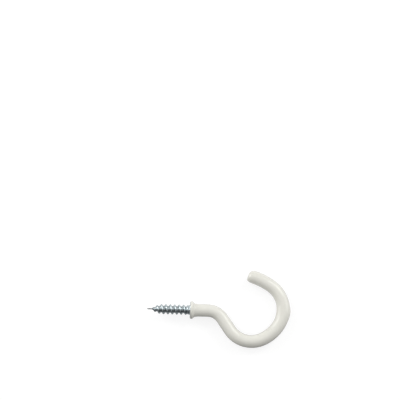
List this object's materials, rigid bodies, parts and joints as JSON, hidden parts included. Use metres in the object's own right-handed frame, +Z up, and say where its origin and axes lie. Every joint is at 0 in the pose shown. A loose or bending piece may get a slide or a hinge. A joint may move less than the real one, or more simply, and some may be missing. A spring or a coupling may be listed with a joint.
{
  "type": "cup hook",
  "caption": "White vinyl-coated steel cup hook with a gimlet-pointed wood screw, a round collar that seats on the wood and an open round bend to hang cups from.",
  "frame": {"origin": "centre of the collar's seat face, on the screw's axis", "axes": "the screw points along -X and the hook lies along +X; the bends lie in the XY plane, with the offset bend toward -Y and the open tip toward +Y; +Z is up as the hook lies flat"},
  "size_m": [0.0454, 0.0249, 0.0056],
  "materials": {
    "zinc_steel": "bright zinc plate",
    "white_vinyl": "semi-gloss dipped vinyl"
  },
  "bodies": {
    "root": {"steel_hook": "zinc_steel", "vinyl_coat": "white_vinyl"}
  },
  "joints": []
}
